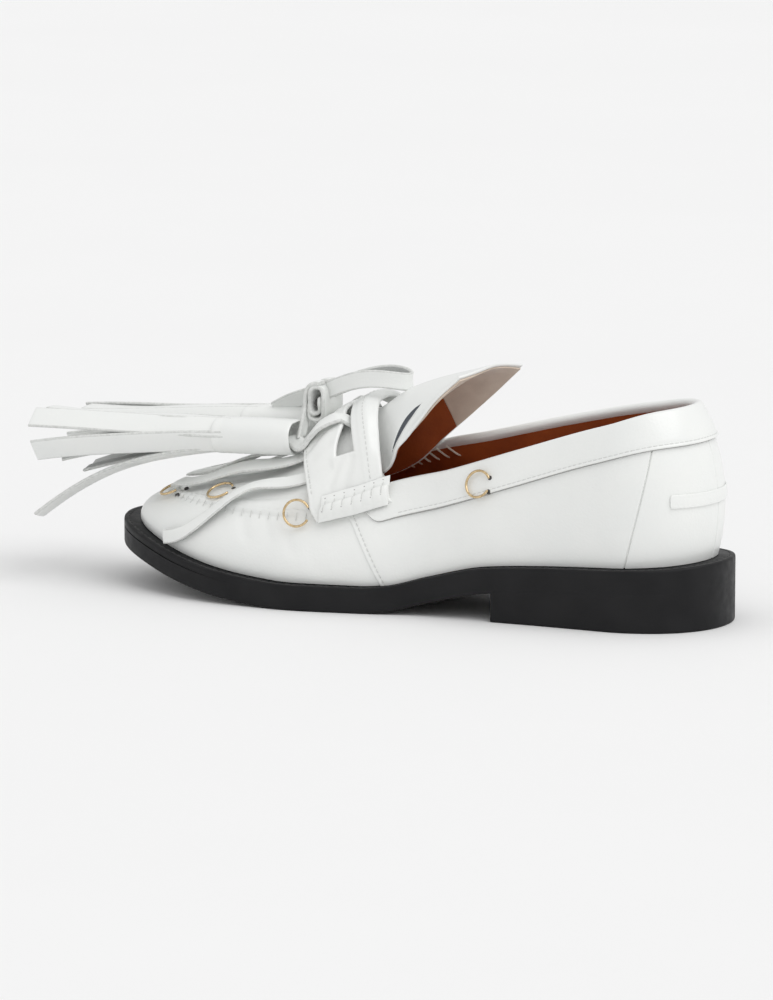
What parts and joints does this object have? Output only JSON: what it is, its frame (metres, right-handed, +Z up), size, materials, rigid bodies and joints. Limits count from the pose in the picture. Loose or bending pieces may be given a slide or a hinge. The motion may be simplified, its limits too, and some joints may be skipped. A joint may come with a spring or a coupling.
{
  "type": "tassel loafer",
  "caption": "Left low-heeled leather loafer with apron toe, saddle strap, tied fringe tassels, kiltie fringe, tongue and wire ring piercings, worn on a foot.",
  "frame": {"origin": "on the floor, at the middle of the heel's ground face", "axes": "+X from heel to toe, +Y to the wearer's left, which is the shoe's outer side, +Z up"},
  "size_m": [0.3043, 0.0955, 0.099],
  "materials": {
    "white_leather": "smooth, semi-gloss",
    "black_rubber": "satin",
    "tan_lining": "satin",
    "gold_wire": "polished"
  },
  "bodies": {
    "shoe": {"outsole": "black_rubber", "welt": "black_rubber", "heel": "black_rubber", "insole": "tan_lining", "upper": "white_leather", "tongue": "white_leather", "saddle_strap": "white_leather", "strap_roll_outer": "white_leather", "strap_roll_inner": "white_leather", "collar_band": "white_leather", "heel_strip": "white_leather", "kiltie_fringe": "white_leather", "tie_knot": "white_leather", "bow_loop": "white_leather", "tie_thong_outer": "white_leather", "tie_thong_inner": "white_leather", "tassel_outer": "white_leather", "tassel_inner": "white_leather", "ring_apron_side": "gold_wire", "ring_apron_toe": "gold_wire"},
    "collar_ring": {"ring_collar": "gold_wire"},
    "saddle_ring": {"ring_saddle": "gold_wire"}
  },
  "joints": [
    {"name": "collar_ring_swing", "type": "hinge", "parent": "shoe", "child": "collar_ring", "pos_m": [0.04648, 0.03244, 0.05529], "axis": [0.0148, -0.3313, 0.9434], "range_deg": [0, 150]},
    {"name": "saddle_ring_swing", "type": "hinge", "parent": "shoe", "child": "saddle_ring", "pos_m": [0.12413, 0.03808, 0.03859], "axis": [0.0234, -0.2289, 0.9732], "range_deg": [0, 80]}
  ]
}
